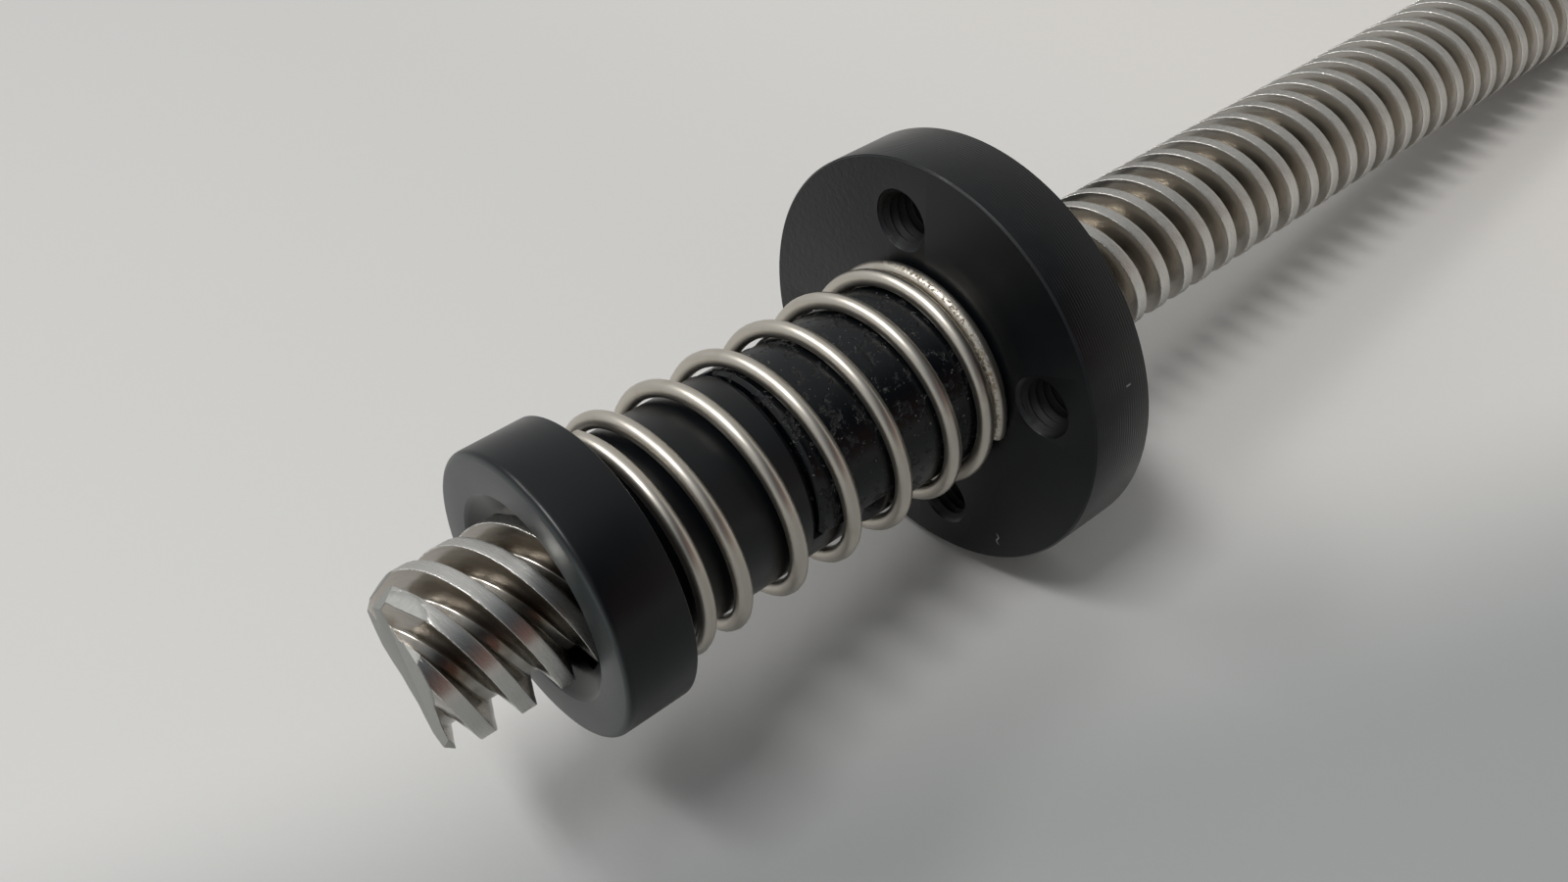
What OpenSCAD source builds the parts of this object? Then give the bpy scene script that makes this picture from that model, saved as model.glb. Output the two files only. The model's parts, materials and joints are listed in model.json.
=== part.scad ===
// Spring-loaded anti-backlash nut on its lead screw.
//
// The screw's axis is +X, from the near tip to the far end, and +Z is up.
// The origin is the centre of the flange's back face, which looks along +X.
// Lengths are in millimetres, angles in degrees. Angles about the axis are
// counted from +Y towards +Z.

/* [Lead screw] */
// Outside diameter of the thread
screw_d = 8; // [6:0.5:12]
// Length of the screw from its near tip to its far end
screw_len = 100; // [90:5:140]
// Axial distance between neighbouring thread crests
thread_pitch = 2; // [1.6:0.1:2.5]
// Number of threads that run side by side
thread_starts = 4; // [2:1:5]
// Flat width of a thread crest
crest_w = 0.74; // [0.5:0.02:0.8]
// Slope of one thread flank from the cross-section plane
flank_angle = 15; // [10:1:20]
// Depth of the thread from crest to root
thread_depth = 1.25; // [0.8:0.05:1.4]
// Length of the bevel on the far end
far_bevel = 0.3; // [0.2:0.1:1]
// How far the near tip stands out of the follower's front face
tip_out = 6.55; // [3:0.05:14]

/* [Nut bodies] */
// Radial gap between the thread crests and the bores of both nuts
bore_gap = 0.05; // [0.02:0.01:0.1]
// Wall of the sleeve and the neck around the bore
sleeve_wall = 1.05; // [0.8:0.05:2]
// Length of the flange nut's neck from the flange to its end
neck_len = 11.6; // [10:0.1:16]
// Thickness of the flange
flange_t = 3.9; // [3:0.1:6]
// Thickness of the follower's collar
collar_t = 3.6; // [3:0.1:6]
// How far the collar stands out past the spring
collar_lip = 1.05; // [0.8:0.05:3]
// How far the spring's seat stands out of the collar's back
seat_step = 0.45; // [0.3:0.05:1.5]
// Open gap between the ends of the neck and the sleeve
joint_gap = 0.35; // [0.2:0.05:1]
// Edge break on the turned edges
edge_break = 0.1; // [0.05:0.05:0.3]
// Radius on the collar's front edge
collar_round = 0.35; // [0.2:0.05:1]
// Width of the countersink at each end of the bore
bore_sink = 1.1; // [0.4:0.1:1.5]
// Included angle of the countersinks
sink_angle = 118; // [90:1:120]

/* [Slot and tongues] */
// Width of the slot across the neck
slot_w = 4.3; // [3:0.1:5]
// Depth of the slot from the neck's end
slot_depth = 4.15; // [4:0.05:6]
// Length of the follower's tongues
tongue_len = 3.3; // [1.5:0.1:3.6]
// Gap between a tongue's side and the slot's side
tongue_gap = 0.1; // [0.05:0.01:0.2]
// Direction of the slot about the axis
slot_turn = 32; // [0:1:179]

/* [Flange holes] */
// Number of tapped holes in the flange
hole_count = 4; // [3:1:6]
// Diameter of the tapped holes, at the root of their thread
hole_d = 3; // [2:0.5:4]
// Width of the small bevel at the mouth of each hole
hole_bevel = 0.15; // [0.05:0.05:0.3]
// Direction of the first hole about the axis
hole_turn = 74; // [0:1:89]
// Clear width of flange between the spring and the holes
hole_in = 0.45; // [0.3:0.05:3]
// Wall between the holes and the flange's rim
hole_out = 1.75; // [1:0.05:5]

/* [Spring] */
// Diameter of the spring wire
wire_d = 0.85; // [0.6:0.05:1]
// Radial gap between the spring and the nut bodies inside it
spring_gap = 0.1; // [0.06:0.02:0.4]
// Length of the compressed spring between its two seats
spring_len = 19.95; // [19:0.05:24]
// Number of turns from one cut end to the other
spring_turns = 7.33; // [6.5:0.01:8]
// Clearance between an end coil and its seat
seat_gap = 0.03; // [0.01:0.01:0.05]
// Gap between the closed coils at the flange
flange_coil_gap = 0.03; // [0.02:0.01:0.2]
// Gap between the last two coils at the collar
collar_coil_gap = 0.95; // [0.1:0.05:1.2]
// How far the last coil leans away from the collar beside its cut end
collar_coil_lean = 0.25; // [0:0.05:0.4]
// Turns over which the coils open from the flange end
flange_open_turns = 0.9; // [0.3:0.1:1.4]
// Turns over which the coils open from the collar end
collar_open_turns = 0.1; // [0.1:0.1:1.6]
// Direction of the wire's cut end at the flange
wire_end_turn = 187; // [0:1:359]

/* [Hidden] */

round_fn = 96;
hole_fn = 32;
cut = 0.5;                       // how far a cutter runs past a face

// Radii, from the screw outwards
screw_r = screw_d / 2;
root_r = screw_r - thread_depth;
bore_r = screw_r + bore_gap;
sleeve_r = bore_r + sleeve_wall;
coil_r = sleeve_r + spring_gap + wire_d / 2;
spring_r = coil_r + wire_d / 2;
seat_r = coil_r + wire_d / 3;
collar_r = spring_r + collar_lip;
hole_circle_r = spring_r + hole_in + hole_d / 2;
flange_r = hole_circle_r + hole_d / 2 + hole_out;

// Places along the axis, from the flange towards the tip
flange_x = -flange_t;
slot_x = flange_x - neck_len + slot_depth;
neck_x = flange_x - neck_len;
sleeve_x = neck_x - joint_gap;
seat_x = flange_x - spring_len;
collar_x = seat_x - seat_step;
front_x = collar_x - collar_t;
tip_x = front_x - tip_out;
tongue_x = sleeve_x + tongue_len;

// Thread: one lobe is a crest, a flank, a root and a flank
lead = thread_pitch * thread_starts;
flank_w = thread_depth * tan(flank_angle);
rings_per_turn = 14;
crest_turn = 36;                 // direction of a crest at the near tip

// Faces cut by hand on the near tip, the sawn end first: the direction that each one
// looks in, its slope from the axis, and its distance from the axis at the very tip as
// a share of the screw's radius
tip_flats = [[-35, 83.2, -1], [43, 54.6, 0.45], [90, 48.5, 0.59]];

// Spring
wire_sides = 8;
segments_per_turn = 20;
closed_turns = 1;

// Lay a shape that was built along +Z with its +X at angle 0 along the axis
module along_axis(x) {
    translate([x, 0, 0]) rotate([0, 90, 0]) rotate([0, 0, 90]) children();
}

// Close a tube of equal rings with a flat face at each end
module ring_tube(rings) {
    n = len(rings[0]);
    last = len(rings) - 1;
    sides = [for (j = [0:last - 1]) for (k = [0:n - 1])
        let (a = j * n + k, b = j * n + (k + 1) % n)
        for (face = [[a, b, b + n], [a, b + n, a + n]]) face];
    near = [for (k = [n - 1:-1:0]) k];
    far = [for (k = [0:n - 1]) last * n + k];
    polyhedron([for (ring = rings) for (p = ring) p], concat([near], sides, [far]));
}

// Offsets along the axis from the crest's middle, each with its radius
function lobe() = [
    [-crest_w / 2, screw_r],
    [0, screw_r],
    [crest_w / 2, screw_r],
    [crest_w / 2 + flank_w, root_r],
    [thread_pitch / 2, root_r],
    [thread_pitch - crest_w / 2 - flank_w, root_r],
];

// Largest radius that the far bevel leaves at a distance from the near tip
function bevel_r(x) = screw_r - max(0, far_bevel - (screw_len - x));

function screw_ring(x) = [for (i = [0:thread_starts - 1]) for (p = lobe())
    let (a = crest_turn + 360 * (x + p[0]) / lead + 360 * i / thread_starts,
         r = min(p[1], bevel_r(x)))
    [tip_x + x, r * cos(a), r * sin(a)]];

// Block on the outer side of one flat of the near tip
module tip_flat(turn, slope, share) {
    size = 6 * screw_r;
    translate([tip_x, 0, 0]) rotate([turn, 0, 0]) translate([0, share * screw_r, 0])
        rotate([0, 0, slope]) translate([-size / 2, 0, -size / 2]) cube(size);
}

module lead_screw() {
    thread_len = screw_len - far_bevel;
    steps = round(thread_len / lead * rings_per_turn);
    stations = concat([for (i = [0:steps]) i * thread_len / steps], [screw_len]);
    color("silver") difference() {
        ring_tube([for (x = stations) screw_ring(x)]);
        for (flat = tip_flats) tip_flat(flat[0], flat[1], flat[2]);
    }
}

module bore(from_x, to_x) {
    along_axis(from_x) cylinder(h = to_x - from_x, r = bore_r, $fn = round_fn);
}

// Cone that opens the bore at a face, wide end first
module countersink(x, turn) {
    spread = tan(sink_angle / 2);
    along_axis(x) rotate([turn, 0, 0]) translate([0, 0, -cut])
        cylinder(h = bore_sink / spread + cut, r1 = bore_r + bore_sink + cut * spread, r2 = bore_r,
            $fn = round_fn);
}

// Slab across the axis that cuts the slot, and a thinner one that leaves the tongues
module slab(width, from_x, to_x) {
    along_axis(from_x) rotate([0, 0, slot_turn])
        translate([-collar_r, -width / 2, 0]) cube([2 * collar_r, width, to_x - from_x]);
}

module flange_profile() {
    polygon([
        [0, 0],
        [flange_r - edge_break, 0],
        [flange_r, edge_break],
        [flange_r, flange_t - edge_break],
        [flange_r - edge_break, flange_t],
        [0, flange_t],
    ]);
}

module neck_profile() {
    polygon([
        [0, 0],
        [sleeve_r - edge_break, 0],
        [sleeve_r, edge_break],
        [sleeve_r, neck_len + flange_t / 2],
        [0, neck_len + flange_t / 2],
    ]);
}

module flange_hole() {
    mouth = hole_bevel + cut;
    translate([0, 0, -cut]) cylinder(h = flange_t + 2 * cut, d = hole_d, $fn = hole_fn);
    for (end = [[0, 0], [flange_t, 180]])
        translate([0, 0, end[0]]) rotate([end[1], 0, 0]) translate([0, 0, -cut])
            cylinder(h = mouth, r1 = hole_d / 2 + mouth, r2 = hole_d / 2, $fn = hole_fn);
}

module flange_nut() {
    color([0.07, 0.07, 0.08]) difference() {
        union() {
            along_axis(flange_x) rotate_extrude($fn = round_fn) flange_profile();
            along_axis(neck_x) rotate_extrude($fn = round_fn) neck_profile();
        }
        bore(neck_x - cut, cut);
        countersink(0, 180);
        slab(slot_w, neck_x - cut, slot_x);
        for (i = [0:hole_count - 1])
            along_axis(flange_x) rotate([0, 0, hole_turn + 360 * i / hole_count])
                translate([hole_circle_r, 0, 0]) flange_hole();
    }
}

module collar_profile() {
    polygon(concat(
        [[0, 0]],
        [for (a = [-90:15:0])
            [collar_r - collar_round + collar_round * cos(a), collar_round + collar_round * sin(a)]],
        [
            [collar_r, collar_t - edge_break],
            [collar_r - edge_break, collar_t],
            [seat_r, collar_t],
            [seat_r, collar_t + seat_step - edge_break],
            [seat_r - edge_break, collar_t + seat_step],
            [0, collar_t + seat_step],
        ]));
}

module sleeve_profile() {
    sleeve_len = sleeve_x - collar_x + collar_t / 2;
    polygon([
        [0, 0],
        [sleeve_r, 0],
        [sleeve_r, sleeve_len - edge_break],
        [sleeve_r - edge_break, sleeve_len],
        [0, sleeve_len],
    ]);
}

module follower_nut() {
    color([0.08, 0.08, 0.09]) difference() {
        union() {
            along_axis(front_x) rotate_extrude($fn = round_fn) collar_profile();
            along_axis(collar_x - collar_t / 2) rotate_extrude($fn = round_fn) sleeve_profile();
            intersection() {
                along_axis(sleeve_x - 2 * edge_break)
                    cylinder(h = tongue_len + 2 * edge_break, r = sleeve_r, $fn = round_fn);
                slab(slot_w - 2 * tongue_gap, sleeve_x - 2 * edge_break, tongue_x);
            }
        }
        bore(front_x - cut, tongue_x + cut);
        countersink(front_x, 0);
    }
}

// Rise of the coils after some turns from an end with a closed coil
function rise(turns, end_pitch, open_turns, pitch) =
    let (opened = max(0, turns - closed_turns))
    end_pitch * turns + (pitch - end_pitch)
        * (opened < open_turns ? opened * opened / (2 * open_turns) : opened - open_turns / 2);

// Lean of the last coil, which dies out over one and a half turns
function last_lean(turns) = collar_coil_lean * sin(360 * turns) * max(0, 1 - turns / 1.5);

module spring() {
    flange_coil_pitch = wire_d + flange_coil_gap;
    collar_coil_pitch = wire_d + collar_coil_gap;
    flange_end = closed_turns + flange_open_turns / 2;
    collar_end = closed_turns + collar_open_turns / 2;
    total = spring_len - wire_d - 2 * seat_gap;
    pitch = (total - flange_coil_pitch * flange_end - collar_coil_pitch * collar_end)
        / (spring_turns - flange_end - collar_end);
    steps = round(spring_turns * segments_per_turn);
    function from_flange(t) = t < spring_turns / 2
        ? rise(t, flange_coil_pitch, flange_open_turns, pitch)
        : total - last_lean(spring_turns - t)
            - rise(spring_turns - t, collar_coil_pitch, collar_open_turns, pitch);
    function wire_ring(t) =
        let (a = wire_end_turn - 360 * t,
             x = flange_x - seat_gap - wire_d / 2 - from_flange(t),
             outward = [0, cos(a), sin(a)],
             lean = atan(pitch / (2 * PI * coil_r)),
             across = [cos(lean), sin(lean) * sin(a), -sin(lean) * cos(a)])
        [for (k = [0:wire_sides - 1])
            let (b = 360 * k / wire_sides)
            [x, 0, 0] + coil_r * outward + wire_d / 2 * (cos(b) * outward + sin(b) * across)];
    color("lightgray") ring_tube([for (i = [0:steps]) wire_ring(i * spring_turns / steps)]);
}

lead_screw();
flange_nut();
follower_nut();
spring();
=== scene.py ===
# Anti-backlash lead screw nut on its screw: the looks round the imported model.
# Sizes in the dictionaries are in millimetres and degrees, Blender's own are in metres.
# Angles about the screw are counted from +Y towards +Z.
import json
import math

import bpy
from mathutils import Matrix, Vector

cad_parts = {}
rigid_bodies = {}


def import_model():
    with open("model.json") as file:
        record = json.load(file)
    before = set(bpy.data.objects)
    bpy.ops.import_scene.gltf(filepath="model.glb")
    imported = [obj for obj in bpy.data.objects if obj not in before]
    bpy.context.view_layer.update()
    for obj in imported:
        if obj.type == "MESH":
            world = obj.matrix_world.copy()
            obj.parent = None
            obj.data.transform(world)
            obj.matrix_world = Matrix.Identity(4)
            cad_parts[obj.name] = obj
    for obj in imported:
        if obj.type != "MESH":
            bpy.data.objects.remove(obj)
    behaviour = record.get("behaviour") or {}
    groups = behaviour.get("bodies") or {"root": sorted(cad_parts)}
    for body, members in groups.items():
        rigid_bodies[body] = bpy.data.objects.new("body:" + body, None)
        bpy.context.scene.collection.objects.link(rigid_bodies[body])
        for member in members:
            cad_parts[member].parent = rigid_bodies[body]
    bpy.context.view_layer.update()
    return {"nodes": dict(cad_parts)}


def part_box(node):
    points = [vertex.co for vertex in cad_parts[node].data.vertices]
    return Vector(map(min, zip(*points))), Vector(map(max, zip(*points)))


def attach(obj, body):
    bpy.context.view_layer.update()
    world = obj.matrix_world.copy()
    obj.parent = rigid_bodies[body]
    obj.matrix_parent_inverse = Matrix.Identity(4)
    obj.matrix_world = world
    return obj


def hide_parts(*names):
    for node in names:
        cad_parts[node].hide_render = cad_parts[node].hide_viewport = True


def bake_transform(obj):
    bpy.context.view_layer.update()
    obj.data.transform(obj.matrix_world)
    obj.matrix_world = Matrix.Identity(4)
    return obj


for leftOver in list(bpy.data.objects):
    bpy.data.objects.remove(leftOver)

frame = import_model()
mm = 0.001
alongScrew = Vector((1, 0, 0))

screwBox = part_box("lead_screw")
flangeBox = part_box("flange_nut")
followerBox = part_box("follower_nut")
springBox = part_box("spring")
print("frame loaded")


camera = {
    "aim": (-13.0, 0.37, 0),  # the point in the middle of the view
    "distance": 72.25,
    "turn": -41.23,  # 0 looks along +Y
    "height": 42.62,
    "lens": 34.4,
}


def addCamera():
    turn, height = math.radians(camera["turn"]), math.radians(camera["height"])
    back = Vector((
        math.sin(turn) * math.cos(height),
        -math.cos(turn) * math.cos(height),
        math.sin(height),
    ))
    bpy.ops.object.camera_add(location=(Vector(camera["aim"]) + camera["distance"] * back) * mm)
    viewer = bpy.context.object
    viewer.name = "mainCamera"
    viewer.rotation_euler = (-back).to_track_quat("-Z", "Y").to_euler()
    viewer.data.lens = camera["lens"]
    viewer.data.clip_start = 1 * mm
    viewer.data.clip_end = 5
    bpy.context.scene.camera = viewer


addCamera()
print("camera placed")


def deselectAll():
    if bpy.context.object and bpy.context.object.mode != "OBJECT":
        bpy.ops.object.mode_set(mode="OBJECT")
    bpy.ops.object.select_all(action="DESELECT")


def pick(piece):
    deselectAll()
    piece.select_set(True)
    bpy.context.view_layer.objects.active = piece


def drawOutline(name, points):
    # a closed outline, pulled from corner to corner
    deselectAll()
    bpy.ops.mesh.primitive_plane_add(size=mm)
    piece = bpy.context.object
    piece.name = piece.data.name = name
    bpy.ops.object.mode_set(mode="EDIT")
    bpy.ops.mesh.merge(type="CENTER")
    bpy.ops.transform.translate(value=points[0])
    for start, end in zip(points, points[1:] + points[:1]):
        bpy.ops.mesh.extrude_region_move(TRANSFORM_OT_translate={"value": end - start})
    bpy.ops.mesh.select_all(action="SELECT")
    bpy.ops.mesh.remove_doubles(threshold=1e-7)
    bpy.ops.object.mode_set(mode="OBJECT")
    return piece


def closeUp(piece):
    pick(piece)
    bpy.ops.object.mode_set(mode="EDIT")
    bpy.ops.mesh.select_all(action="SELECT")
    bpy.ops.mesh.remove_doubles(threshold=1e-7)
    bpy.ops.mesh.normals_make_consistent(inside=False)
    bpy.ops.object.mode_set(mode="OBJECT")
    return piece


def turnOnLathe(name, profile, steps=192):
    # profile is a closed list of (distance along the screw, radius)
    piece = drawOutline(name, [Vector((x, 0, r)) * mm for x, r in profile])
    bpy.ops.object.mode_set(mode="EDIT")
    bpy.ops.mesh.select_all(action="SELECT")
    bpy.ops.mesh.spin(steps=steps, angle=2 * math.pi, center=(0, 0, 0), axis=alongScrew)
    bpy.ops.object.mode_set(mode="OBJECT")
    return closeUp(piece)


def addModifier(piece, kind, **settings):
    pick(piece)
    modifier = piece.modifiers.new(kind.title(), kind)
    for setting, value in settings.items():
        setattr(modifier, setting, value)
    bpy.ops.object.modifier_apply(modifier=modifier.name)
    return piece


def combine(piece, tool, operation):
    addModifier(piece, "BOOLEAN", object=tool, operation=operation, solver="EXACT")
    bpy.data.objects.remove(tool)
    return piece


def cutAway(piece, tool):
    return combine(piece, tool, "DIFFERENCE")


def softenEdges(piece, width, angle=25):
    return addModifier(
        piece, "BEVEL", width=width * mm, segments=2, limit_method="ANGLE",
        angle_limit=math.radians(angle), use_clamp_overlap=True,
    )


def smoothFaces(piece, angle=32):
    pick(piece)
    bpy.ops.object.shade_smooth_by_angle(angle=math.radians(angle))
    return piece


def turnAndMove(piece, turns, shift=(0, 0, 0)):
    # turns is a list of (axis, angle) about the origin
    pick(piece)
    bpy.ops.object.mode_set(mode="EDIT")
    bpy.ops.mesh.select_all(action="SELECT")
    for axis, angle in turns:
        bpy.ops.transform.rotate(
            value=-math.radians(angle), orient_axis=axis, center_override=(0, 0, 0),
        )
    bpy.ops.transform.translate(value=Vector(shift) * mm)
    bpy.ops.object.mode_set(mode="OBJECT")


def addBlock(name, low, high):
    # a block between two corners
    low, high = Vector(low) * mm, Vector(high) * mm
    deselectAll()
    bpy.ops.mesh.primitive_cube_add(size=1, location=(low + high) / 2, scale=high - low)
    block = bpy.context.object
    block.name = name
    bpy.ops.object.transform_apply(location=True, rotation=False, scale=True)
    return block


def sweepSection(name, section, start, length, lead, stepsPerTurn):
    # a section across the screw, given as (angle, radius), that turns with the thread from start on
    turns = length / lead
    points = [
        Vector((start, r * math.cos(math.radians(a)), r * math.sin(math.radians(a)))) * mm
        for a, r in section
    ]
    piece = drawOutline(name, points)
    addModifier(
        piece, "SCREW", axis="X", angle=2 * math.pi * turns, screw_offset=length * mm,
        steps=round(turns * stepsPerTurn), render_steps=round(turns * stepsPerTurn),
        use_smooth_shade=False,
    )
    bpy.ops.object.mode_set(mode="EDIT")
    bpy.ops.mesh.select_mode(type="EDGE")
    bpy.ops.mesh.select_all(action="DESELECT")
    bpy.ops.mesh.select_non_manifold()
    bpy.ops.mesh.edge_face_add()
    bpy.ops.mesh.select_mode(type="VERT")
    bpy.ops.object.mode_set(mode="OBJECT")
    return closeUp(piece)


screw = {
    "radius": 4.0,
    "pitch": 2.0,
    "starts": 4,
    "crestWidth": 0.74,
    "flankAngle": 15.0,
    "threadDepth": 1.25,
    "crestTurn": 36.0,  # direction of a crest at the near tip
    "crestRound": 0.05,
    "rootRound": 0.16,
    "stepsPerTurn": 48,
    "farBevel": 0.3,
    # cut by hand on the near tip: direction, slope from the axis, reach from the axis at the very tip
    "sawnEnd": (-35.0, 83.2, -4.0),
    "flats": ((42.5, 36.9, 2.6), (97.0, 21.0, 3.42), (219.0, 45.0, 2.95)),
}
screw["lead"] = screw["pitch"] * screw["starts"]
screw["rootRadius"] = screw["radius"] - screw["threadDepth"]
tipX = screwBox[0].x / mm
farX = screwBox[1].x / mm


def lobeProfile(crestWidth, crestRadius, rootRadius, crestRound, rootRound):
    # from the crest's middle to the root's middle: (distance along the screw, radius)
    slope = math.tan(math.radians(screw["flankAngle"]))
    half = crestWidth / 2
    foot = half + (crestRadius - rootRadius) * slope
    bend = math.radians(90 - screw["flankAngle"])
    steps = 3  # of each rounded corner
    points = [(0, crestRadius), (half / 2, crestRadius)]
    for i in range(steps + 1):
        turn = bend * i / steps
        points.append((
            half - crestRound * math.tan(bend / 2) + crestRound * math.sin(turn),
            crestRadius - crestRound * (1 - math.cos(turn)),
        ))
    middle = (crestRadius + rootRadius) / 2
    points.append((half + (crestRadius - middle) * slope, middle))
    for i in range(steps + 1):
        turn = bend * (1 - i / steps)
        points.append((
            foot + rootRound * math.tan(bend / 2) - rootRound * math.sin(turn),
            rootRadius + rootRound * (1 - math.cos(turn)),
        ))
    points.append((screw["pitch"] / 2, rootRadius))
    return points


def threadSection(x, profile, shift=0):
    # the thread's section at x, as (angle, radius); shift moves the thread along the screw
    turnPerMm = 360 / screw["lead"]
    oneLobe = [(-d, r) for d, r in reversed(profile[1:])] + profile[:-1]
    first = screw["crestTurn"] + (x - tipX - shift) * turnPerMm
    return [
        (first + d * turnPerMm + 360 * i / screw["starts"], r)
        for i in range(screw["starts"])
        for d, r in oneLobe
    ]


def grinder(direction, slope, reach):
    # a block that covers what one hand-cut face takes off the near tip
    size = 6 * screw["radius"]
    block = addBlock("grinder", (-size / 2, 0, -size / 2), (size / 2, size, size / 2))
    turnAndMove(block, [("Z", slope)], (tipX, reach, 0))
    turnAndMove(block, [("X", direction)])
    return block


def addLeadScrew():
    profile = lobeProfile(
        screw["crestWidth"], screw["radius"], screw["rootRadius"],
        screw["crestRound"], screw["rootRound"],
    )
    over = 0.4  # the swept thread is longer at both ends, and cut to length
    start = tipX - over
    thread = sweepSection(
        "leadScrew", threadSection(start, profile), start, farX - tipX + 2 * over,
        screw["lead"], screw["stepsPerTurn"],
    )
    clear = screw["radius"] + 0.2
    bar = turnOnLathe("bar", [
        (tipX, 0),
        (tipX, clear),
        (farX - 3, clear),
        (farX - screw["farBevel"], screw["radius"]),
        (farX, screw["radius"] - screw["farBevel"]),
        (farX, 0),
    ], steps=96)
    combine(thread, bar, "INTERSECT")
    for cut in (screw["sawnEnd"], *screw["flats"]):
        cutAway(thread, grinder(*cut))
    return smoothFaces(thread)


leadScrew = addLeadScrew()
print("lead screw made")


nut = {
    "sleeveRadius": 5.1,
    "ridgeRadius": 2.95,  # inner radius of the internal thread's ridges
    "boreGap": 0.05,  # between the crests and the bore
    "threadPlay": 0.34,  # axial play of each nut's thread
    "mouth": 1.1,  # width of the countersinks
    "mouthAngle": 118.0,
    "edge": 0.05,
    "slotWidth": 4.3,
    "slotDepth": 4.15,
    "slotTurn": 32.0,
    "tongueLength": 3.3,
    "tongueGap": 0.1,
    "toolExtra": 0.04,  # the thread tool is this much wider than the play asks for
    "toolDeeper": 0.15,  # and its own core this far inside the ridges
    "toolRound": 0.05,
}
boreRadius = screw["radius"] + nut["boreGap"]
backX = flangeBox[1].x / mm
neckX = flangeBox[0].x / mm
frontX = followerBox[0].x / mm
tongueX = followerBox[1].x / mm
sleeveX = tongueX - nut["tongueLength"]


def threadTool(start, end, shift):
    # cuts the internal thread; its lobes are wider than the screw's by the play
    wide = screw["crestWidth"] + nut["threadPlay"] + nut["toolExtra"]
    core = nut["ridgeRadius"] - nut["toolDeeper"]
    profile = lobeProfile(wide, boreRadius, core, nut["toolRound"], nut["toolRound"])
    over = 1
    start, length = start - over, end - start + 2 * over
    return sweepSection(
        "threadTool", threadSection(start, profile, shift), start, length,
        screw["lead"], screw["stepsPerTurn"],
    )


def boreProfile(fromX, toX, fromMouth, toMouth):
    # the bore's side of a lathe profile, from the far side back to the near one
    inner = nut["ridgeRadius"]
    spread = math.tan(math.radians(nut["mouthAngle"] / 2))
    ends = []
    for x, mouth, inward in ((toX, toMouth, -1), (fromX, fromMouth, 1)):
        outer = boreRadius + mouth if mouth else inner
        ends.append([(x, outer), (x + inward * (outer - inner) / spread, inner)][:2 if mouth else 1])
    return [*ends[0], *reversed(ends[1])]


flange = {
    "radius": 11.25,
    "thickness": 3.9,
    "edgeBreak": 0.1,
    "neckRoot": 0.2,
    "neckBreak": 0.2,
    "holeCount": 4,
    "holeCircle": 8.0,
    "holeTurn": 74.0,
    "holeRadius": 1.5,
    "holeRidge": 1.27,
    "holePitch": 0.5,
    "holeMouth": 0.15,
    "holeSteps": 20,  # of its thread, in one turn
    "ringPitch": 0.16,  # of the turning marks on the rim
    # scratches: their middle (x, y, z) and how far each leans, in radians
    "nicks": ((-3.9, -6.2, -7.95, -0.15), (-1.4, -10.5, 4.0, 1.2)),
}


def holeTool(turn):
    # cuts one tapped hole with its broken edges
    steps = 14
    rise = (flange["holeRadius"] - flange["holeRidge"]) / 0.5
    section = [
        (360 * i / steps, flange["holeRadius"] - rise * abs(i / steps - 0.5))
        for i in range(steps)
    ]
    start = backX - flange["thickness"] - 0.51
    tool = sweepSection(
        "holeTool", section, start, flange["thickness"] + 1.02,
        flange["holePitch"], flange["holeSteps"],
    )
    outside = 0.5  # the cones start this far outside the flange
    inside = flange["holeMouth"] + 0.35
    faceX = backX - flange["thickness"]
    for x, direction in ((faceX, 1), (backX, -1)):
        cone = turnOnLathe("mouthTool", [
            (x - outside * direction, 0),
            (x - outside * direction, flange["holeRadius"] + (flange["holeMouth"] + outside)),
            (x + inside * direction, flange["holeRidge"] - 0.12),
            (x + inside * direction, 0),
        ], steps=40)
        combine(tool, cone, "UNION")
    angle = math.radians(turn)
    place = Vector((0, math.cos(angle), math.sin(angle))) * flange["holeCircle"]
    turnAndMove(tool, [], place)
    return tool


def addFlangeNut():
    faceX = backX - flange["thickness"]
    rim, edge = flange["radius"], flange["edgeBreak"]
    sleeve, root = nut["sleeveRadius"], flange["neckRoot"]
    body = turnOnLathe("flangeNut", [
        (neckX, sleeve - flange["neckBreak"]),
        (neckX + flange["neckBreak"], sleeve),
        (faceX - root, sleeve),
        (faceX - 0.3 * root, sleeve + 0.3 * root),
        (faceX, sleeve + root),
        (faceX, rim - edge),
        (faceX + edge, rim),
        (backX - edge, rim),
        (backX, rim - edge),
        *boreProfile(neckX, backX, 0, nut["mouth"]),
    ])
    half = nut["slotWidth"] / 2
    slot = addBlock(
        "slot", (neckX - 1, -sleeve - 1, -half), (neckX + nut["slotDepth"], sleeve + 1, half),
    )
    turnAndMove(slot, [("X", nut["slotTurn"])])
    cutAway(body, slot)
    softenEdges(body, nut["edge"])
    for i in range(flange["holeCount"]):
        cutAway(body, holeTool(flange["holeTurn"] + 360 * i / flange["holeCount"]))
    cutAway(body, threadTool(neckX, backX, nut["threadPlay"] / 2))
    return smoothFaces(body)


flangeNut = addFlangeNut()
print("flange nut made")


collar = {
    "radius": 7.1,
    "thickness": 3.6,
    "frontRound": 0.35,
    "backBreak": 0.06,
    "seatRadius": 5.91,
    "seatStep": 0.45,
    "sleeveBreak": 0.2,
    "tongueRadius": 5.02,
}


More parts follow.
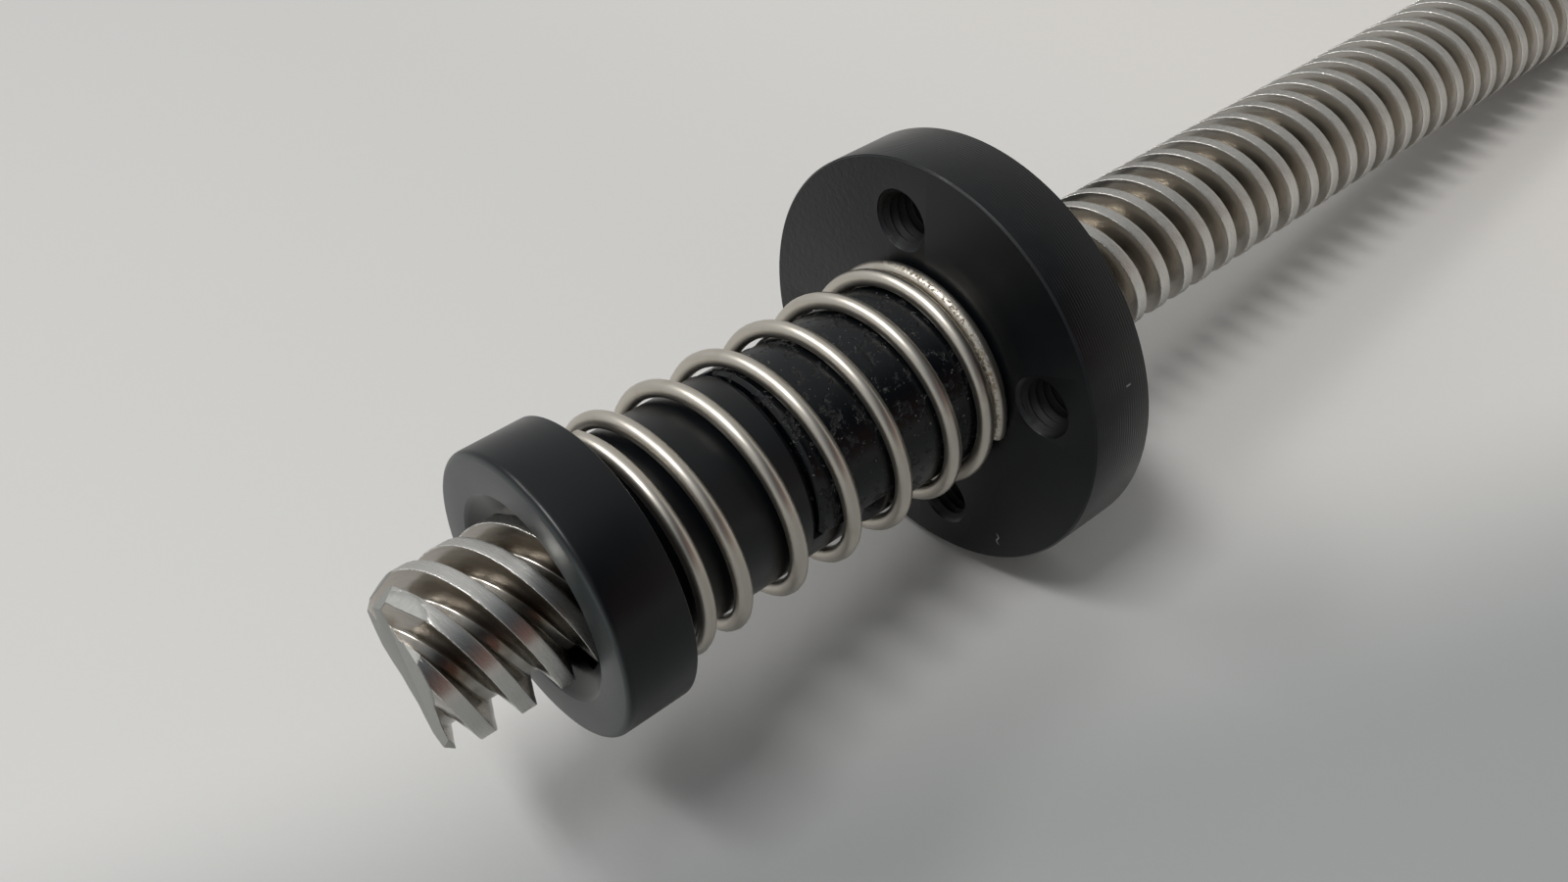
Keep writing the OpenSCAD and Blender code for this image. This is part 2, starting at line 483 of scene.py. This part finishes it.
def addFollowerNut():
    backOfCollar = frontX + collar["thickness"]
    seatX = backOfCollar + collar["seatStep"]
    rim, bend = collar["radius"], collar["frontRound"]
    sleeve = nut["sleeveRadius"]
    roundedEdge = [
        (frontX + bend * (1 - math.sin(a)), rim - bend * (1 - math.cos(a)))
        for a in [math.radians(90 - 15 * i) for i in range(7)]
    ]
    body = turnOnLathe("followerNut", [
        *roundedEdge,
        (backOfCollar - collar["backBreak"], rim),
        (backOfCollar, rim - collar["backBreak"]),
        (backOfCollar, collar["seatRadius"]),
        (seatX - 0.1, collar["seatRadius"]),
        (seatX, collar["seatRadius"] - 0.1),
        (seatX, sleeve),
        (sleeveX - collar["sleeveBreak"], sleeve),
        (sleeveX, sleeve - collar["sleeveBreak"] / 2),
        (sleeveX + 0.1, collar["tongueRadius"]),
        (tongueX - 0.15, collar["tongueRadius"]),
        (tongueX, collar["tongueRadius"] - 0.15),
        *boreProfile(frontX, tongueX, nut["mouth"], 0),
    ])
    half = nut["slotWidth"] / 2 - nut["tongueGap"]
    for side in (-1, 1):
        low = (sleeveX, -sleeve - 1, min(side * half, side * (sleeve + 1)))
        high = (tongueX + 1, sleeve + 1, max(side * half, side * (sleeve + 1)))
        space = addBlock("fingerSpace", low, high)
        turnAndMove(space, [("X", nut["slotTurn"])])
        cutAway(body, space)
    softenEdges(body, nut["edge"])
    cutAway(body, threadTool(frontX, tongueX, -nut["threadPlay"] / 2))
    return smoothFaces(body)


followerNut = addFollowerNut()
print("follower nut made")


spring = {
    "wire": 0.85,
    "coilRadius": 5.625,
    "turns": 7.33,
    "endTurn": 187.0,  # direction of the cut end at the flange
    "flangePitch": 0.88,
    "flangeOpening": 0.9,
    "collarPitch": 1.8,
    "collarOpening": 0.1,
    "collarLean": 0.25,  # how far the last coil leans away beside its cut end
    "endBreak": 0.03,  # on the edges of the cut ends
    "pointsPerTurn": 64,
}


def coilRise(turns, endPitch, opening, pitch):
    # the rise from a closed coil that opens to the free pitch
    opened = max(0, turns - 1)
    grown = opened ** 2 / (2 * opening) if opened < opening else opened - opening / 2
    return endPitch * turns + (pitch - endPitch) * grown


def addSpring():
    wire, turns = spring["wire"], spring["turns"]
    startX, endX = springBox[1].x / mm - wire / 2, springBox[0].x / mm + wire / 2
    travel = startX - endX
    flangeTurns = 1 + spring["flangeOpening"] / 2
    collarTurns = 1 + spring["collarOpening"] / 2
    closed = spring["flangePitch"] * flangeTurns + spring["collarPitch"] * collarTurns
    pitch = (travel - closed) / (turns - flangeTurns - collarTurns)
    count = round(turns * spring["pointsPerTurn"])
    points = []
    for i in range(count + 1):
        done = turns * i / count
        if done < turns / 2:
            rise = coilRise(done, spring["flangePitch"], spring["flangeOpening"], pitch)
        else:
            left = turns - done
            lean = spring["collarLean"] * math.sin(2 * math.pi * left) * max(0, 1 - left / 1.5)
            rise = coilRise(left, spring["collarPitch"], spring["collarOpening"], pitch)
            rise = travel - rise - lean
        angle = math.radians(spring["endTurn"] - 360 * done)
        points.append(Vector((
            startX - rise,
            spring["coilRadius"] * math.cos(angle),
            spring["coilRadius"] * math.sin(angle),
        )) * mm)
    deselectAll()
    bpy.ops.curve.primitive_nurbs_path_add()
    coil = bpy.context.object
    coil.name = coil.data.name = "springWire"
    coil.data.splines.clear()
    path = coil.data.splines.new("POLY")
    path.points.add(count)
    for corner, point in zip(path.points, points):
        corner.co = (*point, 1)
    coil.location = (0, 0, 0)
    coil.data.bevel_depth = wire / 2 * mm
    coil.data.bevel_resolution = 4
    coil.data.use_fill_caps = True
    bpy.ops.object.convert(target="MESH")
    wireMesh = closeUp(bpy.context.object)
    softenEdges(wireMesh, spring["endBreak"], angle=60)
    return smoothFaces(wireMesh, angle=40)


springWire = addSpring()
print("spring made")


class Amount:
    # a shader value that can be written into sums
    def __init__(self, finish, socket):
        self.finish = finish
        self.socket = socket

    def __add__(self, other):
        return self.finish.math("ADD", self, other)

    def __radd__(self, other):
        return self.finish.math("ADD", other, self)

    def __sub__(self, other):
        return self.finish.math("SUBTRACT", self, other)

    def __rsub__(self, other):
        return self.finish.math("SUBTRACT", other, self)

    def __mul__(self, other):
        return self.finish.math("MULTIPLY", self, other)

    def __rmul__(self, other):
        return self.finish.math("MULTIPLY", other, self)

    def __truediv__(self, other):
        return self.finish.math("DIVIDE", self, other)


class Finish:
    # a material that is built node by node
    def __init__(self, name):
        self.material = bpy.data.materials.new(name)
        self.material.use_nodes = True
        self.tree = self.material.node_tree
        self.shader = self.tree.nodes["Principled BSDF"]
        place = self.add("ShaderNodeTexCoord", {}, {}, "Object")
        self.place = self.add("ShaderNodeVectorMath", {"operation": "SCALE"}, {0: place, "Scale": 1000.0})
        split = self.node("ShaderNodeSeparateXYZ", {}, {0: self.place})
        self.x, self.y, self.z = [Amount(self, split.outputs[i]) for i in range(3)]
        self.radius = self.math("SQRT", self.y * self.y + self.z * self.z)
        self.turn = self.math("ARCTAN2", self.z, self.y)

    def node(self, kind, settings, values):
        made = self.tree.nodes.new(kind)
        for setting, value in settings.items():
            if setting == "stops":
                ramp = made.color_ramp
                while len(ramp.elements) < len(value):
                    ramp.elements.new(0.5)
                for element, (position, colour) in zip(ramp.elements, value):
                    element.position = position
                    element.color = (*colour, 1)
            else:
                setattr(made, setting, value)
        for socket, value in values.items():
            self.plug(made.inputs[socket], value)
        return made

    def plug(self, socket, value):
        if isinstance(value, Amount):
            self.tree.links.new(value.socket, socket)
        elif isinstance(value, tuple) and socket.type == "RGBA":
            socket.default_value = (*value, 1)
        else:
            socket.default_value = value

    def add(self, kind, settings, values, output=0):
        return Amount(self, self.node(kind, settings, values).outputs[output])

    def math(self, operation, *values):
        return self.add("ShaderNodeMath", {"operation": operation}, dict(enumerate(values)))

    def between(self, value, low, high):
        # 0 below low, 1 above high, smooth in between
        return self.add(
            "ShaderNodeMapRange", {"interpolation_type": "SMOOTHSTEP"},
            {"Value": value, "From Min": low, "From Max": high},
        )

    def point(self, x, y, z):
        return self.add("ShaderNodeCombineXYZ", {}, {0: x, 1: y, 2: z})

    def noise(self, place, scale, detail=3.0, roughness=0.5):
        return self.add(
            "ShaderNodeTexNoise", {}, {
                "Vector": place, "Scale": scale, "Detail": detail, "Roughness": roughness,
            },
        )

    def mix(self, amount, first, second):
        # between two colours
        return self.add(
            "ShaderNodeMix", {"data_type": "RGBA"}, {0: amount, 6: first, 7: second}, 2
        )

    def bump(self, height, depth):
        # depth in millimetres for a height of 1
        return self.add("ShaderNodeBump", {}, {"Height": height, "Distance": depth * mm})

    def set(self, **values):
        for name, value in values.items():
            self.plug(self.shader.inputs[name.replace("_", " ")], value)

    def put(self, piece):
        piece.data.materials.clear()
        piece.data.materials.append(self.material)


# colours are pairs of the darkest and the lightest, or one colour; bumps are in millimetres
screwLook = {
    "crest": ((0.54, 0.53, 0.5), (0.67, 0.655, 0.625)),
    "flank": ((0.34, 0.315, 0.28), (0.54, 0.51, 0.465)),
    # darker brown in patches near the thread's roots
    "darkNearRoots": (0.2, 0.17, 0.135),
    "handCut": ((0.28, 0.28, 0.265), (0.42, 0.42, 0.4)),
    # near white: a painted highlight on the burrs of the crest edge
    "burrAndPaintedGlint": (0.86, 0.84, 0.8),
    "bump": 0.006,
}


def makeScrewSteel():
    steel = Finish("screwSteel")
    angle = steel.turn * (180 / math.pi) - screw["crestTurn"]
    lines = (steel.x - tipX - angle * (screw["lead"] / 360)) / screw["pitch"]
    offset = (steel.math("FRACT", lines + 0.5) - 0.5) * screw["pitch"]
    side = steel.math("ABSOLUTE", offset)
    half = screw["crestWidth"] / 2
    outer = steel.between(steel.radius, screw["radius"] - 0.09, screw["radius"] - 0.04)
    onCrest = outer * (1 - steel.between(side, half - 0.03, half + 0.03))
    broken = steel.noise(steel.point(steel.x * 2, steel.turn * 14, 0.0), 1.0, 5.0, 0.7)
    # burrs along one crest edge: real raised burrs in the bump, with a painted highlight in their colour
    burrAndPaintedGlint = outer * steel.between(0 - offset, half - 0.05, half - 0.01) * steel.between(broken, 0.42, 0.6)
    around = steel.point(offset * 16, steel.radius * 4, steel.turn * 2.2)
    rolled = steel.noise(around, 1.0, 5.0, 0.65)
    fine = steel.noise(steel.point(offset * 42, steel.radius * 8, steel.turn * 3), 1.0, 3.0)
    cloud = steel.noise(steel.place, 0.4, 4.0)
    grey = steel.mix(cloud, *screwLook["crest"])
    stain = steel.mix(rolled, *screwLook["flank"])
    deep = 1 - steel.between(steel.radius, screw["rootRadius"] + 0.05, screw["rootRadius"] + 0.7)
    # darker brown patches near the thread's roots
    darkNearRoots = steel.between(cloud, 0.4, 0.62) * deep
    groove = steel.mix(darkNearRoots, stain, screwLook["darkNearRoots"])
    sawn = 0
    for direction, slope, reach in (screw["sawnEnd"], *screw["flats"]):
        lean, aim = math.radians(slope), math.radians(direction)
        out = (steel.y * math.cos(aim) + steel.z * math.sin(aim) - reach) * math.cos(lean)
        out = steel.math("ABSOLUTE", out - (steel.x - tipX) * math.sin(lean))
        sawn = steel.math("MAXIMUM", 1 - steel.between(out, 0.02, 0.05), sawn)
    marks = steel.noise(
        steel.point(steel.x, steel.y * 0.7 + steel.z * 7, steel.z * 0.7 - steel.y * 7), 1.0, 5.0, 0.7
    )
    cut = steel.mix(marks, *screwLook["handCut"])
    surface = steel.mix(burrAndPaintedGlint, steel.mix(onCrest, groove, grey), screwLook["burrAndPaintedGlint"])
    steel.set(
        Base_Color=steel.mix(sawn, surface, cut),
        Metallic=1.0,
        Roughness=0.2 + onCrest * 0.04 + fine * 0.08 - burrAndPaintedGlint * 0.1 + sawn * 0.42,
        Normal=steel.bump(
            fine * onCrest + rolled * 0.6 + burrAndPaintedGlint * 2 + marks * sawn * 3, screwLook["bump"]
        ),
    )
    steel.put(leadScrew)


flangeLook = {
    "black": ((0.0012, 0.0018, 0.0026), (0.0024, 0.0032, 0.0042)),
    "pits": (0.003, 0.003, 0.0035),
    # light grey of the scratches, also used for painted glints on the neck
    "scratchAndPaintedGlint": (0.3, 0.3, 0.28),
    # darker inside the tapped holes: painted shade
    "paintedShadeInHoles": (0.0006, 0.0008, 0.001),
    "specular": 0.36,
    "bump": 0.012,
}


def makeFlangePlastic():
    plastic = Finish("flangePlastic")
    faceX = backX - flange["thickness"]
    onRim = plastic.between(plastic.radius, flange["radius"] - 0.06, flange["radius"] - 0.03)
    onFace = plastic.between(plastic.x, faceX - 0.1, faceX - 0.04)
    onFace = onFace * (1 - plastic.between(plastic.x, faceX + 0.02, faceX + 0.05))
    onNeck = 1 - plastic.between(plastic.x, faceX - 0.2, faceX - 0.1)
    cloud = plastic.noise(plastic.place, 0.5, 4.0)
    turned = plastic.math("SINE", plastic.x * (2 * math.pi / flange["ringPitch"]))
    worn = plastic.noise(plastic.point(plastic.x, plastic.turn * 9, 0.0), 1.0, 4.0, 0.6)
    rings = turned * onRim * plastic.between(worn, 0.3, 0.7)
    faced = plastic.noise(plastic.point(plastic.radius * 7, plastic.turn * 0.5, 0.0), 1.0, 3.0)
    moulded = plastic.between(plastic.y + plastic.z * 0.35, 4.5, 8.0) * onFace
    leather = plastic.noise(plastic.place, 2.6, 4.0, 0.6) * moulded
    dents = plastic.noise(plastic.place, 1.5, 5.0, 0.65)
    pitted = plastic.between(dents, 0.55, 0.64) * onNeck
    # light speckles on the neck: painted glints on its pitted surface
    paintedGlintSpeckles = plastic.between(plastic.noise(plastic.place, 4.5, 2.0), 0.68, 0.74) * onNeck
    nick = 0
    for x, y, z, lean in flange["nicks"]:
        across = (plastic.y - y) * math.cos(lean) + (plastic.z - z) * math.sin(lean)
        along = (plastic.z - z) * math.cos(lean) - (plastic.y - y) * math.sin(lean)
        bent = across + plastic.math("SINE", along * 12) * 0.07
        thin = 1 - plastic.between(plastic.math("ABSOLUTE", bent), 0.02, 0.06)
        short = 1 - plastic.between(plastic.math("ABSOLUTE", along), 0.25, 0.4)
        near = 1 - plastic.between(plastic.math("ABSOLUTE", plastic.x - x), 0.1, 0.2)
        nick = thin * short * near + nick
    black = plastic.mix(cloud, *flangeLook["black"])
    # inside the tapped holes the plastic is painted darker, a painted shade, and made rougher
    paintedShadeInHole = 0
    for i in range(flange["holeCount"]):
        aim = math.radians(flange["holeTurn"] + 360 * i / flange["holeCount"])
        across = plastic.y - math.cos(aim) * flange["holeCircle"]
        upward = plastic.z - math.sin(aim) * flange["holeCircle"]
        away = plastic.math("SQRT", across * across + upward * upward)
        paintedShadeInHole = plastic.math("MAXIMUM", 1 - plastic.between(away, 1.45, 1.6), paintedShadeInHole)
    surface = plastic.mix(pitted, black, flangeLook["pits"])
    surface = plastic.mix(paintedGlintSpeckles * 0.3 + nick * 0.8, surface, flangeLook["scratchAndPaintedGlint"])
    surface = plastic.mix(paintedShadeInHole, surface, flangeLook["paintedShadeInHoles"])
    plastic.set(
        Specular_IOR_Level=flangeLook["specular"],
        Base_Color=surface,
        Roughness=0.28 + cloud * 0.08 + onNeck * (dents * 0.3 - 0.22) + moulded * 0.1 + paintedShadeInHole * 0.3,
        Normal=plastic.bump(
            rings * 0.35 + faced * onFace * 0.4 + leather * 3 - pitted * 3 + worn * 0.3,
            flangeLook["bump"],
        ),
    )
    plastic.put(flangeNut)


followerLook = {
    "black": ((0.0012, 0.0018, 0.0028), (0.0022, 0.003, 0.0042)),
    "front": (0.036, 0.042, 0.042),  # the collar's turned front, painted lighter: a painted reflection of the bright table
    "specular": 0.36,
    "bump": 0.01,
}


def makeFollowerPlastic():
    plastic = Finish("followerPlastic")
    cloud = plastic.noise(plastic.place, 0.5, 4.0)
    # the front face, which is painted lighter: a painted reflection of the bright table
    front = 1 - plastic.between(plastic.x, frontX + 0.02, frontX + 0.16)
    mouth = 1 - plastic.between(plastic.radius, boreRadius + 0.1, boreRadius + 0.2)
    mouth = mouth * (1 - plastic.between(plastic.x, frontX + 0.66, frontX + 0.7))
    faced = plastic.noise(plastic.point(plastic.radius * 8, plastic.turn * 0.4, 0.0), 1.0, 3.0)
    turned = plastic.noise(plastic.point(plastic.x * 7, plastic.turn * 0.6, 0.0), 1.0, 3.0)
    machined = plastic.math("MAXIMUM", front, mouth)
    black = plastic.mix(cloud, *followerLook["black"])
    plastic.set(
        Specular_IOR_Level=followerLook["specular"],
        Base_Color=plastic.mix(front, black, followerLook["front"]),
        Roughness=0.28 + cloud * 0.08,
        Normal=plastic.bump(
            faced * machined * 0.4 + turned * (1 - machined) * 0.35, followerLook["bump"]
        ),
    )
    plastic.put(followerNut)


springLook = {
    "wire": ((0.55, 0.51, 0.445), (0.63, 0.59, 0.525)),
    "tarnish": (0.45, 0.39, 0.32),
    "dirt": (0.2, 0.155, 0.1),  # in the seam of the closed coils
    "bump": 0.005,
}


def makeSpringSteel():
    steel = Finish("springSteel")
    drawn = steel.noise(steel.point(steel.x * 9, steel.radius * 9, steel.turn * 1.2), 1.0, 4.0)
    cloud = steel.noise(steel.place, 0.6, 4.0)
    tarnish = steel.between(cloud, 0.55, 0.75)
    bright = steel.mix(drawn, *springLook["wire"])
    seam = steel.math("ABSOLUTE", steel.x - (backX - flange["thickness"] - spring["wire"]))
    grains = steel.noise(steel.place, 6.0, 3.0, 0.7)
    dirt = (1 - steel.between(seam, 0.06, 0.2)) * steel.between(grains, 0.48, 0.6)
    dirt = dirt * steel.between(steel.z - steel.y, 2.0, 6.0)
    surface = steel.mix(tarnish * 0.4, bright, springLook["tarnish"])
    steel.set(
        Base_Color=steel.mix(dirt, surface, springLook["dirt"]),
        Metallic=1 - dirt,
        Roughness=0.33 + drawn * 0.06 + dirt * 0.3,
        Normal=steel.bump(drawn * 0.1 + dirt * grains * 4, springLook["bump"]),
    )
    steel.put(springWire)


makeScrewSteel()
makeFlangePlastic()
makeFollowerPlastic()
makeSpringSteel()
for node, finish in (
    ("lead_screw", "screwSteel"), ("flange_nut", "flangePlastic"),
    ("follower_nut", "followerPlastic"), ("spring", "springSteel"),
):
    frame["nodes"][node].data.materials.clear()
    frame["nodes"][node].data.materials.append(bpy.data.materials[finish])
print("finishes made")


table = {
    "lean": -4.0,  # about the screw
    "size": 4000.0,
    "colour": (0.6, 0.59, 0.57),
    # painted light: the table is painted lighter further along the screw, standing in for light that
    # falls there
    "farPaintedLightColour": (0.69, 0.665, 0.63),
    "farPaintedLightFrom": (0.0, 50.0),  # where the painted light of the far colour begins and ends, along the screw
    "shadeColour": (0.31, 0.32, 0.315),  # a painted shade: the table painted darker on the near side of the part, standing in for a broad shadow there
    "shadeMiddle": (-12.0, -15.0),
    "shadeReach": (40.0, 100.0),  # it fades between these distances from its middle
    "shadeEdge": (4.0, 26.0),  # and towards the part between these
    "shadeSlant": -0.5,
    "gap": 0.02,
}
lamps = {
    "overhead": {"from": (-0.42, 0.03, 1.0), "distance": 420, "size": (170, 60), "power": 0.82},
    "window": {"from": (-0.45, 0.72, 1.0), "distance": 420, "size": (170, 70), "power": 0.32},
}
room = {
    "brownSide": (0.485, -0.857, -0.167),  # the direction of the brown part of the room
    "strength": 0.62,
    "endWall": (0.8, 0.79, 0.76),  # beyond the far end of the screw
    "endWallFrom": (0.5, 0.74),  # it fades in between these shares of straight along +X
    # how far round from brownSide (1 at its middle, -1 opposite), and the colour there
    "shades": (
        (-0.3, (0.9, 0.91, 0.91)),
        (0.15, (0.6, 0.62, 0.64)),
        (0.4, (0.2, 0.22, 0.25)),
        (0.6, (0.03, 0.04, 0.052)),
        (0.72, (0.06, 0.05, 0.05)),
        (0.86, (0.28, 0.14, 0.115)),
    ),
}


def addTable():
    # the table touches the flange's rim and the screw's far end
    lean = math.radians(table["lean"])
    across = Vector((0, -math.sin(lean), math.cos(lean)))
    drop = flange["radius"] - screw["radius"]
    tilt = math.degrees(math.atan2(drop, farX - screw["farBevel"] - backX))
    contact = Vector((backX, 0, 0)) - (flange["radius"] + table["gap"]) * across
    deselectAll()
    bpy.ops.mesh.primitive_grid_add(x_subdivisions=2, y_subdivisions=2, size=table["size"] * mm)
    top = bpy.context.object
    top.name = "tableTop"
    turnAndMove(top, (("Y", -tilt), ("X", table["lean"])), contact)
    paint = Finish("tableTop")
    grain = paint.noise(paint.place, 2.0, 3.0)
    along, aside = [
        place - middle for place, middle in zip((paint.x, paint.y), table["shadeMiddle"])
    ]
    away = paint.math("SQRT", along * along + aside * aside)
    # painted shade: the table is painted darker in a soft pool on the near side of the part
    shade = paint.between(paint.x * table["shadeSlant"] - paint.y, *table["shadeEdge"])
    shade = shade * (1 - paint.between(away, *table["shadeReach"]))
    # painted light: lighter further along the screw
    far = paint.between(paint.x, *table["farPaintedLightFrom"])
    colour = paint.mix(far, table["colour"], table["farPaintedLightColour"])
    colour = paint.mix(shade, colour, table["shadeColour"])
    paint.set(
        Base_Color=paint.mix(grain * 0.06, colour, (0.4, 0.4, 0.4)),
        Roughness=0.5,
        Normal=paint.bump(grain, 0.01),
    )
    paint.put(top)


def addLamp(name, lamp):
    towards = Vector(lamp["from"]).normalized()
    spot = Vector(camera["aim"]) * mm + towards * lamp["distance"] * mm
    bpy.ops.object.light_add(type="AREA", location=spot)
    light = bpy.context.object
    light.name = name
    light.data.shape = "RECTANGLE"
    light.data.size, light.data.size_y = [side * mm for side in lamp["size"]]
    light.data.energy = lamp["power"]
    light.rotation_euler = (-towards).to_track_quat("-Z", "Y").to_euler()


def addSurroundings():
    world = bpy.data.worlds.new("studio")
    bpy.context.scene.world = world
    world.use_nodes = True
    nodes, links = world.node_tree.nodes, world.node_tree.links
    direction = nodes.new("ShaderNodeTexCoord").outputs["Generated"]
    towards = nodes.new("ShaderNodeVectorMath")
    towards.operation = "DOT_PRODUCT"
    towards.inputs[1].default_value = Vector(room["brownSide"]).normalized()
    links.new(direction, towards.inputs[0])
    place = nodes.new("ShaderNodeMapRange")
    place.inputs["From Min"].default_value = -1
    links.new(towards.outputs["Value"], place.inputs["Value"])
    shades = nodes.new("ShaderNodeValToRGB")
    ramp = shades.color_ramp
    while len(ramp.elements) < len(room["shades"]):
        ramp.elements.new(0.5)
    for element, (dot, colour) in zip(ramp.elements, room["shades"]):
        element.position = (dot + 1) / 2
        element.color = (*colour, 1)
    links.new(place.outputs["Result"], shades.inputs["Fac"])
    parts = nodes.new("ShaderNodeSeparateXYZ")
    links.new(direction, parts.inputs["Vector"])
    ahead = nodes.new("ShaderNodeMapRange")
    ahead.inputs["From Min"].default_value = room["endWallFrom"][0]
    ahead.inputs["From Max"].default_value = room["endWallFrom"][1]
    links.new(parts.outputs["X"], ahead.inputs["Value"])
    walls = nodes.new("ShaderNodeMixRGB")
    walls.inputs["Color2"].default_value = (*room["endWall"], 1)
    links.new(ahead.outputs["Result"], walls.inputs["Fac"])
    links.new(shades.outputs["Color"], walls.inputs["Color1"])
    links.new(walls.outputs["Color"], nodes["Background"].inputs["Color"])
    nodes["Background"].inputs["Strength"].default_value = room["strength"]


addTable()
for lampName, lampValues in lamps.items():
    addLamp(lampName, lampValues)
addSurroundings()
bpy.context.scene.view_settings.view_transform = "Standard"
print("table and lamps placed")


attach(leadScrew, "lead_screw")
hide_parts("lead_screw")
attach(flangeNut, "flange_nut")
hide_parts("flange_nut")
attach(followerNut, "follower_nut")
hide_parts("follower_nut")
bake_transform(springWire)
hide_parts("spring")
